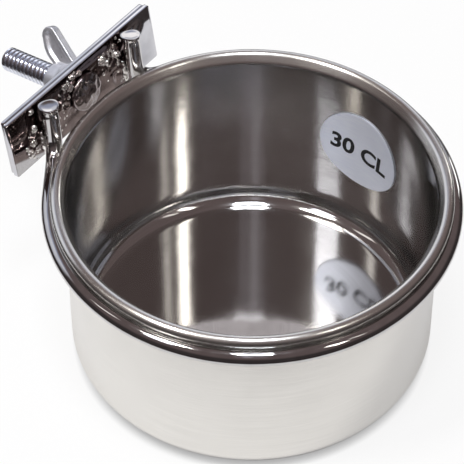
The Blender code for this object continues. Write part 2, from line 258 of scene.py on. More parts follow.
# Where one look of the cup turns into the next, in metres: from its axis, then from the ground
SHEET_MIDDLE = (0.0441, 0.0445)
SOFTER_FROM = (0.001, 0.006)
HATCHED_FROM = (0.003, 0.010)
# The same on the front plate, where its painted dark reflection stops: depth of its plain rear, its plain
# right end, its plain corner below a slope; the right end and the corner are where the plate shows light
PLATE_REAR_FROM = (0.00003, 0.00010)
PLATE_RIGHT_FROM = (0.0180, 0.0200)
PLATE_RIGHT_WAVE = 0.0008
CORNER_SLOPE = 0.347
CORNER_DROP = 0.0130
CORNER_FADE = 0.0003
# The same between the bolt's head, painted dark brown as a painted dark reflection, and its shank
HEAD_FADE = 0.0001

# Camera, in pixels of the square image and in metres
IMAGE_SIZE = 464
FOCAL_PIXELS = 2600
SENSOR = 36.0
VIEW_ELEVATION = math.radians(47.02)
VIEW_FORWARD = Vector((0.7998, 0.6003, 0))
VIEW_DISTANCE = 0.6163
VIEW_TARGET = Vector((0, 0, RING_HEIGHT * MM))
TARGET_RIGHT = 19.9
TARGET_UP = 30.9
VIEW_ROLL = 0.0080
NEAREST_SEEN = 0.05
FARTHEST_SEEN = 20

# Pale sheet under the part, in metres
SHEET_SHIFT = 0.031
SHEET_DROP = 0.0002
SHEET_RADIUS = 0.122
SHEET_SIDES = 128
SHEET_WHITE = 0.88
SHEET_WHITE_MIRRORED = 0.40
# Shadow where the part touches the sheet
CONTACT_REACH = 0.003
CONTACT_DARK = 0.45
CONTACT_OPENNESS = (0.25, 0.85)

# Lamps: name, turn to the camera's right and height in degrees, width and height in metres, watts, colour
LAMP_DISTANCE = 1.2
LAMPS = (("lamp_over", 4, 79, 0.18, 0.26, 5.6, (0.90, 0.94, 1.0)),
         ("lamp_high_left", -64, 65, 0.20, 0.20, 7.2, (1.0, 0.98, 0.94)),
         ("lamp_back_right", 140, 12, 0.22, 0.30, 0.5, (1.0, 1.0, 1.0)),
         ("lamp_behind", 180, 50.5, 0.22, 0.12, 0.046, (0.97, 0.96, 1.0)),
         ("lamp_behind_low", 188, 25, 0.30, 0.25, 0.16, (1.0, 0.93, 0.84)),
         ("lamp_right", 47.5, 48, 0.075, 0.36, 0.68, (1.0, 0.97, 0.90)),
         ("lamp_right_strip", 60, 48, 0.04, 0.30, 0.08, (1.0, 0.98, 0.92)),
         ("lamp_middle", 0, 48, 0.24, 0.36, 0.030, (0.90, 0.88, 1.0)),
         ("lamp_middle_core", -2, 48, 0.07, 0.36, 0.016, (0.92, 0.92, 1.0)),
         ("lamp_left", -53, 50, 0.22, 0.12, 0.42, (0.90, 0.93, 1.0)),
         ("lamp_far_left", -88, 48, 0.08, 0.30, 0.13, (1.0, 0.98, 0.94)))

# Room: dim brown, darker below, with a pale backdrop. Stops: height of the view's direction, colour
ROOM = (0.16, 0.124, 0.122)
UNDER = (0.05, 0.042, 0.042)
PALE = (0.85, 0.87, 0.95)
ROOM_STOPS = ((0.0, UNDER), (0.10, UNDER), (0.5, ROOM))
BACKDROP_STOPS = ((0.0, UNDER), (0.02, (0.45, 0.46, 0.50)), (0.30, PALE), (0.55, PALE),
                  (0.61, (0.46, 0.50, 0.66)), (0.66, (0.40, 0.42, 0.52)), (0.70, (0.24, 0.23, 0.25)),
                  (0.75, ROOM))
# The backdrop's middle is turned this far to the camera's left, in degrees
BACKDROP_TURN = 25
# The backdrop narrows upwards: how far a direction has to face it, between two heights, and its soft edge
BACKDROP_FACING = (0.52, 0.80)
BACKDROP_HEIGHTS = (0.50, 0.72)
BACKDROP_SOFTNESS = 0.14

LEAN_UP = Vector((0, math.sin(CLAMP_LEAN), math.cos(CLAMP_LEAN)))
LEAN_OUT = Vector((0, math.cos(CLAMP_LEAN), -math.sin(CLAMP_LEAN)))
POST_UP = Vector((0, math.sin(POST_LEAN), math.cos(POST_LEAN)))


# Mesh helpers

def mesh_object(name, bm, material, sharp=math.radians(32)):
    """Turns a bmesh in millimetres into a smooth object in metres."""
    bmesh.ops.recalc_face_normals(bm, faces=bm.faces)
    if bm.calc_volume(signed=True) < 0:
        bmesh.ops.reverse_faces(bm, faces=bm.faces)
    bmesh.ops.scale(bm, vec=(MM, MM, MM), verts=bm.verts)
    mesh = bpy.data.meshes.new(name)
    bm.to_mesh(mesh)
    bm.free()
    mesh.shade_smooth()
    mesh.set_sharp_from_angle(angle=sharp)
    obj = bpy.data.objects.new(name, mesh)
    bpy.context.scene.collection.objects.link(obj)
    mesh.materials.append(material)
    return obj


def evaluated_mesh(obj):
    """A mesh of an object as it stands after its curves or modifiers."""
    return bpy.data.meshes.new_from_object(obj.evaluated_get(bpy.context.evaluated_depsgraph_get()))


def arc(centre, radius, start, end, steps):
    """Points on an arc in a flat section."""
    angles = [start + (end - start) * i / steps for i in range(steps + 1)]
    return [(centre[0] + radius * math.cos(a), centre[1] + radius * math.sin(a)) for a in angles]


def turned(points, steps):
    """A bmesh turned about Z from points of radius and height."""
    bm = bmesh.new()
    line = [bm.verts.new((radius, 0, height)) for radius, height in points]
    edges = [bm.edges.new(pair) for pair in zip(line[:-1], line[1:])]
    bmesh.ops.spin(bm, geom=line + edges, axis=(0, 0, 1), angle=math.radians(360), steps=steps)
    bmesh.ops.remove_doubles(bm, verts=bm.verts, dist=SAME_POINT)
    return bm


def skin(bm, loops):
    """Joins each closed loop of points to the next one by a band of faces."""
    for near, far in zip(loops, loops[1:]):
        for i in range(len(near)):
            j = (i + 1) % len(near)
            bm.faces.new((near[i], near[j], far[j], far[i]))


def swept(stations, sides, lump_size):
    """A round skin through stations of centre, direction, radius and lumpiness, closed at both ends."""
    bm = bmesh.new()
    rings = []
    across = stations[0][1].orthogonal().normalized()
    for centre, direction, radius, lumps in stations:
        across = (across - direction * across.dot(direction)).normalized()
        other = direction.cross(across)
        ring = []
        for i in range(sides):
            angle = math.tau * i / sides
            spoke = across * math.cos(angle) + other * math.sin(angle)
            swell = 1 + lumps * noise.noise((centre + spoke * radius) / lump_size)
            ring.append(bm.verts.new(centre + spoke * radius * swell))
        rings.append(ring)
    skin(bm, rings)
    bm.faces.new(rings[0])
    bm.faces.new(rings[-1])
    return bm


def clamp_matrix():
    """Clamp frame to part frame: X along the plates, Y along the bolt, Z up the plates."""
    columns = (Vector((1, 0, 0)), LEAN_OUT, LEAN_UP)
    return Matrix.Translation(CLAMP_CENTRE) @ Matrix(columns).transposed().to_4x4()


def bolt_matrix(along, spin=0.0):
    """Frame of a piece turned about the bolt: its Z runs out along the bolt."""
    stand_out = Matrix.Rotation(math.radians(-90), 4, "X")
    spun = Matrix.Rotation(spin, 4, "Y")
    return clamp_matrix() @ Matrix.Translation((0, along, 0)) @ spun @ stand_out


# Pieces

def sheet_side(offset):
    """One face of the cup's sheet in section, from the axis to the end of the curl."""
    mid_radius = CUP_INNER_RADIUS + CUP_SHEET / 2
    corner = CUP_CORNER_RADIUS + CUP_SHEET / 2
    bend = FLARE_BEND_RADIUS + CUP_SHEET / 2
    curl = (BEAD_DIAMETER - CUP_SHEET) / 2
    width = bend * (1 - math.cos(FLARE_ANGLE)) + FLARE_LENGTH * math.sin(FLARE_ANGLE)
    rise = bend * math.sin(FLARE_ANGLE) + FLARE_LENGTH * math.cos(FLARE_ANGLE)
    bead = (mid_radius + width + curl * math.cos(FLARE_ANGLE), CUP_HEIGHT - BEAD_DIAMETER / 2)
    wall_bottom = CUP_SHEET + CUP_CORNER_RADIUS
    wall_top = bead[1] + curl * math.sin(FLARE_ANGLE) - rise
    wall_radius = mid_radius - offset
    span = wall_top - wall_bottom - 2 * FIRST_WALL_ROW
    rows = [wall_bottom + gap for gap in BEND_ROWS]
    rows += [wall_bottom + FIRST_WALL_ROW + span * i / WALL_ROWS for i in range(1, WALL_ROWS)]
    rows += [wall_top - gap for gap in BEND_ROWS[::-1]]
    flare_start = math.radians(180)
    flare_end = flare_start - FLARE_ANGLE
    curl_end = flare_end - math.radians(360) + CURL_OPENING

    points = [(radius, wall_bottom - corner + offset) for radius in FLOOR_STOPS]
    corner_centre = (mid_radius - corner, wall_bottom)
    points += arc(corner_centre, corner - offset, math.radians(-90), 0, CORNER_STEPS)
    points += [(wall_radius, height) for height in rows]
    points += arc((mid_radius + bend, wall_top), bend + offset, flare_start, flare_end, FLARE_STEPS)
    points += arc(bead, curl + offset, flare_end, curl_end, CURL_STEPS)
    return points


def make_cup(material):
    """The drawn cup, turned from both faces of its sheet."""
    inner = sheet_side(CUP_SHEET / 2)
    outer = sheet_side(-CUP_SHEET / 2)
    return mesh_object("steel_cup", turned(inner + outer[::-1], CUP_STEPS), material)


def on_wall(x, y, rise):
    """A point of the flat label laid on the cup's inside wall."""
    radius = CUP_INNER_RADIUS - LABEL_GAP
    across = x * math.cos(LABEL_TILT) - y * math.sin(LABEL_TILT)
    up = x * math.sin(LABEL_TILT) + y * math.cos(LABEL_TILT)
    angle = LABEL_ANGLE - across / radius
    reach = radius - rise
    return Vector((reach * math.cos(angle), reach * math.sin(angle), LABEL_HEIGHT + up))


def make_label(material):
    """A thin foil disc with a soft edge, rolled to the wall and a little creased."""
    top = [(LABEL_RADIUS * i / LABEL_RINGS, LABEL_THICKNESS) for i in range(LABEL_RINGS)]
    rim = [(LABEL_RADIUS - LABEL_EDGE, LABEL_THICKNESS), (LABEL_RADIUS, LABEL_THICKNESS - LABEL_EDGE)]
    bottom = [(LABEL_RADIUS * i / LABEL_RINGS, 0) for i in range(LABEL_RINGS, -1, -1)]
    bm = turned(top + rim + bottom, LABEL_SIDES)
    for vertex in bm.verts:
        x, y, rise = vertex.co
        place = Vector((x / CREASE_SIZE[0], y / CREASE_SIZE[1], CREASE_SLICE))
        crease = CREASE_DEPTH * noise.noise(place) if rise > 0 else 0
        vertex.co = on_wall(x, y, rise + crease)
    return mesh_object("foil_label", bm, material)


def make_label_text(material):
    """Plain capacity figures printed on the label."""
    curve = bpy.data.curves.new("label_figures", "FONT")
    curve.body = LABEL_TEXT
    curve.align_x = "CENTER"
    curve.align_y = "CENTER"
    curve.extrude = TEXT_EXTRUDE
    curve.offset = TEXT_BOLDNESS
    curve.resolution_u = TEXT_CURVE_STEPS
    flat = bpy.data.objects.new("label_figures_flat", curve)
    bpy.context.scene.collection.objects.link(flat)
    mesh = evaluated_mesh(flat)
    bpy.data.objects.remove(flat, do_unlink=True)
    bm = bmesh.new()
    bm.from_mesh(mesh)
    bpy.data.meshes.remove(mesh)
    bmesh.ops.remove_doubles(bm, verts=bm.verts, dist=SAME_TEXT_POINT)
    wide = [vertex.co.x for vertex in bm.verts]
    scale = TEXT_WIDTH / (max(wide) - min(wide))
    middle = (max(wide) + min(wide)) / 2
    for vertex in bm.verts:
        x = (vertex.co.x - middle) * scale
        y = vertex.co.y * scale - TEXT_DROP
        rise = LABEL_THICKNESS + (TEXT_RAISE if vertex.co.z > 0 else -TEXT_ROOT)
        vertex.co = on_wall(x, y, rise)
    return mesh_object("label_figures", bm, material)


def fillet(before, corner, after, radius, steps):
    """Points that round the corner between two straight runs in space."""
    back = (before - corner).normalized()
    ahead = (after - corner).normalized()
    half = back.angle(ahead) / 2
    reach = radius / math.tan(half)
    centre = corner + (back + ahead).normalized() * (radius / math.sin(half))
    start = corner + back * reach - centre
    axis = start.cross(corner + ahead * reach - centre).normalized()
    sweep = math.pi - 2 * half
    return [centre + Matrix.Rotation(sweep * i / steps, 3, axis) @ start for i in range(steps + 1)]


def post_end(top, tilt):
    """Stations of a post's hammered end: a dished, tilted face and a burr that folds over its edge."""
    down = -(POST_UP + tilt).normalized()
    burr = WIRE_RADIUS + POST_END_SWELL
    # Depth below the top, radius and lumpiness: first the face, then the burr, then the way to the wire
    shape = [(0.10, 0.3, 0), (0.10, 0.9, 0), (0.06, 1.5, 0.02), (0.0, 1.9, 0.06), (-0.02, 2.15, 0.1)]
    shape += [(0.06, burr - 0.05, 0.14), (0.22, burr, 0.14), (0.5, burr - 0.02, 0.12), (0.75, 2.2, 0.08)]
    shape += [(1.0, 2.0, 0.04), (1.4, 1.92, 0.02), (2.2, WIRE_RADIUS - 0.05, 0.02)]
    return [(top + down * depth, down, radius, lumps) for depth, radius, lumps in shape]


def on_ring(angle):
    """A point on the middle line of the ring."""
    return Vector((RING_RADIUS * math.cos(angle), RING_RADIUS * math.sin(angle), RING_HEIGHT))


def make_ring(material):
    """One bent wire: post, ring, post."""
    foot = Vector((POST_X, POST_FOOT_Y, RING_HEIGHT))
    top = foot + POST_UP * POST_LENGTH
    leave = math.atan2(foot.y, foot.x) - math.acos(RING_RADIUS / foot.xy.length)
    sweep = leave + math.radians(90)
    steps = math.ceil(sweep / RING_STEP)
    path = [top - POST_UP * depth for depth in POST_ROWS]
    path += fillet(top, foot, on_ring(leave), POST_BEND_RADIUS, POST_BEND_STEPS)
    path += [on_ring(leave - sweep * i / steps) for i in range(steps + 1)]
    mirror = Matrix.Diagonal((-1, 1, 1))
    path += [mirror @ point for point in path[-2::-1]]

    stations = post_end(top, RIGHT_END_TILT)
    last = len(path) - 1
    for i, point in enumerate(path):
        direction = (path[min(i + 1, last)] - path[max(i - 1, 0)]).normalized()
        stations.append((point, direction, WIRE_RADIUS, WIRE_LUMPS))
    for centre, direction, radius, lumps in post_end(top, Vector())[::-1]:
        stations.append((mirror @ centre, -direction, radius, lumps))
    bm = swept(stations, WIRE_SIDES, WIRE_LUMP_SIZE)
    return mesh_object("wire_ring", bm, material, sharp=math.radians(50))


def weld_line(name, start, end, material):
    """An uneven weld bead laid between two points."""
    direction = (end - start).normalized()
    stations = []
    for i in range(BEAD_STEPS + 1):
        share = i / BEAD_STEPS
        taper = max(BEAD_END, math.sin(math.pi * share) ** 0.5)
        centre = start.lerp(end, share)
        grain = centre * BEAD_WANDER_GRAIN
        wander = Vector((noise.noise(grain), noise.noise(grain + OTHER_NOISE), 0)) * BEAD_WANDER
        stations.append((centre + wander, direction, BEAD_RADIUS * taper, BEAD_LUMPS))
    bm = swept(stations, BEAD_SIDES, BEAD_LUMP_SIZE)
    return mesh_object(name, bm, material, sharp=math.radians(60))


def make_welds(material):
    """Weld beads down both sides of each post, where it meets the front plate."""
    welds = []
    place = clamp_matrix()
    foot = -PLATE_HEIGHT / 2
    for side, post in (("left", -POST_X), ("right", POST_X)):
        for mark, shift, low, high in WELD_RUNS:
            start = place @ Vector((post + shift, BEAD_DEPTH, foot + low))
            end = place @ Vector((post + shift, BEAD_DEPTH, foot + high))
            welds.append(weld_line(f"weld_{side}_{mark}", start, end, material))
    return welds


def within(limit, value):
    """A value held between a limit and its negative."""
    return max(-limit, min(limit, value))


def make_splash(name, across, up, width, height, lift, material):
    """A shallow splash of weld metal on the front plate, uneven all over."""
    top = [(i / SPLASH_RINGS, 1) for i in range(SPLASH_RINGS + 1)]
    bm = turned(top + [(radius, 0) for radius, _ in top[::-1]], SPLASH_SIDES)
    for vertex in bm.verts:
        flat = Vector((vertex.co.x, vertex.co.y, 0))
        reach = flat.length
        ragged_x = noise.noise(flat * SPLASH_EDGE_GRAIN[0] + Vector((across, up, SPLASH_EDGE_SLICES[0])))
        ragged_z = noise.noise(flat * SPLASH_EDGE_GRAIN[1] + Vector((up, across, SPLASH_EDGE_SLICES[1])))
        x = across + flat.x * width * (1 + SPLASH_RAGGED * ragged_x)
        z = up + flat.y * height * (1 + SPLASH_RAGGED * ragged_z)
        lumps = SPLASH_MEAN + SPLASH_LUMPS * noise.noise(Vector((x, z, SPLASH_SLICE)) / SPLASH_GRAIN)
        mound = lift * (1 - reach ** 2) * max(SPLASH_THINNEST, lumps)
        on_top = vertex.co.z > 0.5
        depth = SPLASH_SEAT - mound - SPLASH_CROWN * (1 - reach) if on_top else SPLASH_ROOT
        vertex.co = (x, depth, within(SPLASH_LIMIT, z))
    bm.transform(clamp_matrix())
    return mesh_object(name, bm, material, sharp=math.radians(70))


def make_splashes(material):
    """Weld splashes round both posts and beside the bolt's head."""
    return [make_splash(*splash, material) for splash in SPLASHES]


def add_drops(bm):
    """Small round drops, thickest by the posts and the head."""
    dice = random.Random(SPATTER_SEED)
    for across, up in SPATTER_PLACES:
        for _ in range(SPATTER_DROPS):
            x = across + dice.gauss(0, SPATTER_SPREAD[0])
            z = within(SPATTER_LIMIT, up + dice.gauss(0, SPATTER_SPREAD[1]))
            size = dice.uniform(*DROP_SIZES) * dice.uniform(*DROP_SHRINK)
            shape = Matrix.Diagonal((size, size * DROP_FLATNESS, size * DROP_LENGTH, 1))
            drop = Matrix.Translation((x, -DROP_RAISE, z)) @ shape
            bmesh.ops.create_icosphere(bm, subdivisions=2, radius=1.0, matrix=drop)


def add_lumps(bm):
    """Larger uneven lumps of weld metal."""
    for across, up, size in WELD_LUMPS:
        lump = bmesh.ops.create_icosphere(bm, subdivisions=4, radius=size)
        for vertex in lump["verts"]:
            grain = (vertex.co + Vector((across, 0, up))) / LUMP_GRAIN
            ball = vertex.co * (1 + LUMP_UNEVENNESS * noise.noise(grain))
            vertex.co = (across + ball.x, ball.y * LUMP_FLATNESS - LUMP_RAISE, up + ball.z)


def make_spatter(material):
    """Drops and lumps that the welding left on the front plate."""
    bm = bmesh.new()
    add_drops(bm)
    add_lumps(bm)
    bm.transform(clamp_matrix())
    return mesh_object("weld_spatter", bm, material, sharp=math.radians(60))


def rounded_rectangle(width, height, radius, steps=8):
    """Outline of a flat plate."""
    points = []
    for quarter in range(4):
        start = math.radians(90 * quarter)
        x = (width / 2 - radius) * (1 if quarter in (0, 3) else -1)
        y = (height / 2 - radius) * (1 if quarter in (0, 1) else -1)
        points += arc((x, y), radius, start, start + math.radians(90), steps)
    return points


def plate_section(near, far):
    """Inset and depth of a plate's sheared edges, from the near face to the far one."""
    back = PLATE_THICKNESS + GAP_FILL
    return [(near, 0), (near * EDGE_MIDDLE, near * EDGE_MIDDLE), (0, near),
            (0, back - far), (far * EDGE_MIDDLE, back - far * EDGE_MIDDLE), (far, back)]


def make_plate(name, width, near_y, edges, material):
    """A stamped plate with soft edges and a round hole for the bolt."""
    bm = bmesh.new()
    loops = []
    for inset, depth in plate_section(*edges):
        outline = rounded_rectangle(width - 2 * inset, PLATE_HEIGHT - 2 * inset, PLATE_CORNER_RADIUS - inset)
        loops.append([bm.verts.new((x, depth, z)) for x, z in outline])
    holes = []
    last_turn = math.tau * (HOLE_SIDES - 1) / HOLE_SIDES
    for inset, depth in plate_section(*edges):
        hole = arc((0, 0), HOLE_RADIUS + inset, 0, last_turn, HOLE_SIDES - 1)
        holes.append([bm.verts.new((x, depth, z)) for x, z in hole])
    skin(bm, loops)
    skin(bm, holes)
    for end in (0, -1):
        rim = []
        for loop in (loops[end], holes[end]):
            rim += [bm.edges.get((loop[i - 1], loop[i])) for i in range(len(loop))]
        bmesh.ops.triangle_fill(bm, edges=rim, use_beauty=True)
    for vertex in bm.verts:
        vertex.co.y += near_y
    bm.transform(clamp_matrix())
    return mesh_object(name, bm, material, sharp=math.radians(28))


def thread_radius(angle, along):
    """Radius of the threaded shank at a turn and a distance from its head's seat."""
    start = PLATE_THICKNESS
    end = BOLT_REACH - BOLT_CHAMFER
    share = ((along - start) / THREAD_PITCH - angle / math.tau) % 1.0
    ridge = 1 - abs(2 * share - 1)
    ridge = min(1.0, max(0.0, ridge / (1 - THREAD_CREST)))
    fade = min(1.0, max(0.0, (along - start) / THREAD_PITCH))
    radius = BOLT_RADIUS - THREAD_DEPTH * (1 - ridge) * fade
    nose = BOLT_RADIUS - max(0.0, along - end) * NOSE_SLOPE
    return min(radius, nose)


def make_bolt(material):
    """The bolt: a lumpy domed head, a threaded shank and a chamfered nose."""
    crown_bottom = -SEAT_GAP - HEAD_EDGE
    head = []
    for i in range(1, CROWN_ROWS + 1):
        lift = math.radians(90) * (1 - i / CROWN_ROWS)
        head.append((HEAD_RADIUS * math.cos(lift), crown_bottom - HEAD_CROWN * math.sin(lift)))
    head += [(HEAD_RADIUS, -SEAT_GAP - HEAD_CHAMFER), (HEAD_RADIUS - HEAD_CHAMFER, -SEAT_GAP)]
    head += [(BOLT_RADIUS, -SEAT_GAP)]
    rows = math.ceil(BOLT_REACH / THREAD_PITCH * ROWS_PER_PITCH)
    shank = [(None, BOLT_REACH * i / rows) for i in range(rows + 1)]
    bm = bmesh.new()
    loops = []
    for radius, along in head + shank:
        loop = []
        for i in range(BOLT_SIDES):
            angle = math.tau * i / BOLT_SIDES
            reach = thread_radius(angle, along) if radius is None else radius
            point = Vector((reach * math.cos(angle), reach * math.sin(angle), along))
            if along < crown_bottom:
                point.z += HEAD_LUMPS * noise.noise(point * HEAD_LUMP_GRAIN) - HEAD_SWELL
            loop.append(bm.verts.new(point))
        loops.append(loop)
    skin(bm, loops)
    peak = bm.verts.new((0, 0, crown_bottom - HEAD_CROWN))
    for i in range(BOLT_SIDES):
        bm.faces.new((loops[0][i], loops[0][i - 1], peak))
    bm.faces.new(loops[-1])
    bm.transform(bolt_matrix(0))
    return mesh_object("clamp_screw", bm, material, sharp=math.radians(40))


def tangent_angles(point, centre, radius):
    """The two angles on a circle where a straight line from the point touches it."""
    dx = point[0] - centre[0]
    dy = point[1] - centre[1]
    away = math.atan2(dy, dx) % math.tau
    swing = math.acos(radius / math.hypot(dx, dy))
    return away - swing, away + swing


def bowed(start, end, bow, steps):
    """Points between two ends on a shallow bow to the right of the way from one to the other."""
    run = Vector(end) - Vector(start)
    aside = Vector((run.y, -run.x)).normalized() * bow
    shares = [i / steps for i in range(1, steps)]
    points = [Vector(start) + run * share + aside * 4 * share * (1 - share) for share in shares]
    return [(point.x, point.y) for point in points]


def wing_outline():
    """One ear of the nut, seen flat: radius across, height along the bolt."""
    low = (NUT_BASE_RADIUS - NUT_EDGE, NUT_EDGE)
    high = (NUT_TOP_RADIUS, NUT_HEIGHT - NUT_EDGE)
    root = (NUT_TOP_RADIUS + NUT_BORE) / 2
    start = tangent_angles(low, WING_TIP, WING_TIP_RADIUS)[1] - math.tau
    end = tangent_angles(high, WING_TIP, WING_TIP_RADIUS)[0]
    tip = arc(WING_TIP, WING_TIP_RADIUS, start, end, WING_TIP_STEPS)
    top = bowed(tip[-1], high, WING_BOW, WING_BOW_STEPS)
    return [(root, low[1]), low] + tip + top + [high, (root, high[1])]


def add_ear(bm, side):
    """A flat ear with a raised rim round a recessed face."""
    half = WING_THICKNESS / 2
    faces = []
    loops = []
    for across in (-half, half):
        loop = [bm.verts.new((across, -side * x, y)) for x, y in wing_outline()]
        loops.append(loop)
        faces.append(bm.faces.new(loop))
    skin(bm, loops)
    bmesh.ops.recalc_face_normals(bm, faces=bm.faces)
    bmesh.ops.inset_individual(bm, faces=faces, thickness=WING_RIM, depth=0)
    bmesh.ops.inset_individual(bm, faces=faces, thickness=RECESS_SLOPE, depth=-WING_RECESS)


def cast_together(obj):
    """Melts the hub and the ears of a casting into one skin with soft fillets."""
    melt = obj.modifiers.new("melt", "REMESH")
    melt.mode = "VOXEL"
    melt.voxel_size = CAST_GRID * MM
    soften = obj.modifiers.new("soften", "SMOOTH")
    soften.factor = CAST_SOFTNESS
    soften.iterations = CAST_PASSES
    mesh = evaluated_mesh(obj)
    obj.modifiers.clear()
    obj.data = mesh
    mesh.shade_smooth()


def make_nut(material):
    """The cast wing nut: a conical hub with two ears."""
    bore_top = (NUT_BORE, NUT_HEIGHT - BORE_CHAMFER)
    hub = [bore_top, (NUT_BORE + BORE_CHAMFER, NUT_HEIGHT), (NUT_TOP_RADIUS - NUT_EDGE, NUT_HEIGHT)]
    hub += [(NUT_TOP_RADIUS, NUT_HEIGHT - NUT_EDGE), (NUT_TOP_RADIUS + WAIST_SWELL, WAIST_HEIGHT)]
    hub += [(NUT_BASE_RADIUS, NUT_EDGE), (NUT_BASE_RADIUS - NUT_EDGE, 0), (NUT_BORE, 0), bore_top]
    bm = turned(hub, NUT_SIDES)
    for side in (1, -1):
        add_ear(bm, side)
    bm.transform(bolt_matrix(NUT_SEAT_Y, NUT_TURN))
    nut = mesh_object("nut_cast", bm, material)
    cast_together(nut)
    return nut


# Material helpers

def new_material(name):
    """A material with a plain shader ready for links."""
    material = bpy.data.materials.new(name)
    material.use_nodes = True
    return material, material.node_tree, material.node_tree.nodes["Principled BSDF"]


def node(tree, kind, inputs=None, **settings):
    """Adds a node, sets its options, and fills or links its inputs."""
    made = tree.nodes.new(kind)
    for key, value in settings.items():
        setattr(made, key, value)
    for key, value in (inputs or {}).items():
        if isinstance(value, bpy.types.NodeSocket):
            tree.links.new(value, made.inputs[key])
        else:
            made.inputs[key].default_value = value
    return made


def coordinates(tree):
    """The part's own coordinates in metres."""
    return node(tree, "ShaderNodeTexCoord").outputs["Object"]


def speckle(tree, vector, scale, detail=3.0, roughness=0.5):
    """Noise from 0 to 1 at so many features to the metre."""
    inputs = {"Vector": vector, "Scale": scale, "Detail": detail, "Roughness": roughness}
    return node(tree, "ShaderNodeTexNoise", inputs).outputs["Fac"]


def between(tree, value, low, high, start=NOISE_LOW, end=NOISE_HIGH):
    """Maps a value from the range start to end, by default that of noise, to the range low to high."""
    inputs = {"Value": value, "From Min": start, "From Max": end, "To Min": low, "To Max": high}
    return node(tree, "ShaderNodeMapRange", inputs).outputs["Result"]


def tones(tree, value, stops):
    """A colour ramp with stops of position and colour."""
    ramp = node(tree, "ShaderNodeValToRGB", {"Fac": value})
    elements = ramp.color_ramp.elements
    while len(elements) < len(stops):
        elements.new(0.5)
    for element, (position, colour) in zip(elements, stops):
        element.position = position
        element.color = (*colour, 1)
    return ramp.outputs["Color"]


def shades(tree, value, dark, light):
    """Two colours blended by noise."""
    return tones(tree, value, [(NOISE_LOW, dark), (NOISE_HIGH, light)])


def bumped(tree, height, depth, strength, under=None):
    """A bump layer so many metres deep, over another one if given."""
    inputs = {"Height": height, "Distance": depth, "Strength": strength}
    if under is not None:
        inputs["Normal"] = under
    return node(tree, "ShaderNodeBump", inputs).outputs["Normal"]


def arithmetic(tree, operation, first, second):
    """A sum, product or other operation on two values."""
    return node(tree, "ShaderNodeMath", {0: first, 1: second}, operation=operation).outputs[0]


def distance_along(tree, place, way):
    """How far a point lies along a direction."""
    return node(tree, "ShaderNodeVectorMath", {0: place, 1: way}, operation="DOT_PRODUCT").outputs["Value"]


def blended(tree, share, first, second):
    """A colour between two others."""
    mix = node(tree, "ShaderNodeMix", data_type="RGBA")
    for socket, value in zip(MIX_INPUTS, (share, first, second)):
        tree.links.new(value, mix.inputs[socket])
    return mix.outputs[MIX_OUTPUT]


def plug(tree, shader, colour, roughness, normal, metallic):
    """Links a shader's colour, roughness and normal, and sets how metallic it is."""
    for name, socket in (("Base Color", colour), ("Roughness", roughness), ("Normal", normal)):
        tree.links.new(socket, shader.inputs[name])
    shader.inputs["Metallic"].default_value = metallic


def round_lines(tree, vector, along, across):
    """Stretched noise that runs round the cup's axis, and the distance from that axis."""
    parts = node(tree, "ShaderNodeSeparateXYZ", {0: vector}).outputs
    flat = node(tree, "ShaderNodeCombineXYZ", {"X": parts["X"], "Y": parts["Y"]}).outputs[0]
    reach = node(tree, "ShaderNodeVectorMath", {0: flat}, operation="LENGTH").outputs["Value"]
    run = arithmetic(tree, "ADD", reach, parts["Z"])
    stretched = arithmetic(tree, "MULTIPLY", run, across / along)
    inputs = {"X": parts["X"], "Y": parts["Y"], "Z": stretched}
    lines = node(tree, "ShaderNodeCombineXYZ", inputs).outputs[0]
    return speckle(tree, lines, along, detail=4.0, roughness=0.6), reach


# Materials

def steel_material():
    """Polished stainless sheet with round polishing lines; the wall is softer and the outside more satin,
    and lighter and warmer than the inside as a painted sheen.
    """
    material, tree, shader = new_material("cup_steel")
    place = coordinates(tree)
    height = node(tree, "ShaderNodeSeparateXYZ", {0: place}).outputs["Z"]
    lines, reach = round_lines(tree, place, along=45.0, across=4200.0)
    hatching, _ = round_lines(tree, place, along=260.0, across=2200.0)
    haze = speckle(tree, place, 90.0)

    inner = shades(tree, lines, *INNER_STEEL)
    # Lighter, warmer outside face: painted sheen
    outer = shades(tree, lines, *OUTER_STEEL_WITH_SHEEN)
    colour = blended(tree, between(tree, reach, 0.0, 1.0, *SHEET_MIDDLE), inner, outer)

    floor_rough = between(tree, haze, 0.06, 0.10)
    wall_extra = between(tree, height, 0.0, 0.055, *SOFTER_FROM)
    outside_extra = between(tree, reach, 0.0, 0.115, *SHEET_MIDDLE)
    extra = arithmetic(tree, "ADD", outside_extra, wall_extra)
    rough = arithmetic(tree, "ADD", floor_rough, extra)

    hatching_strength = between(tree, height, 0.05, 0.55, *HATCHED_FROM)
    line_strength = between(tree, reach, 0.16, 0.03, *SHEET_MIDDLE)
    dents = bumped(tree, haze, depth=0.00006, strength=0.6)
    grain = bumped(tree, hatching, depth=0.00003, strength=hatching_strength, under=dents)
    normal = bumped(tree, lines, depth=0.00002, strength=line_strength, under=grain)

    plug(tree, shader, colour, rough, normal, metallic=1.0)
    around = node(tree, "ShaderNodeTangent", direction_type="RADIAL", axis="Z").outputs[0]
    tree.links.new(around, shader.inputs["Tangent"])
    shader.inputs["Anisotropic"].default_value = 0.6
    shader.inputs["Anisotropic Rotation"].default_value = 0.25
    return material


def chrome_material(name, tone, ripple, dull=0.04):
    """Bright plating with a faint ripple and hazy patches."""
    material, tree, shader = new_material(name)
    place = coordinates(tree)
    haze = speckle(tree, place, 260.0, detail=4.0)
    waves = speckle(tree, place, 130.0, detail=1.0)
    dark = [channel * 0.92 for channel in tone]
    light = [min(1.0, channel * 1.08) for channel in tone]
    colour = shades(tree, haze, dark, light)
    rough = between(tree, haze, dull, dull + 0.06)
    plug(tree, shader, colour, rough, bumped(tree, waves, depth=ripple, strength=0.3), metallic=1.0)
    return material


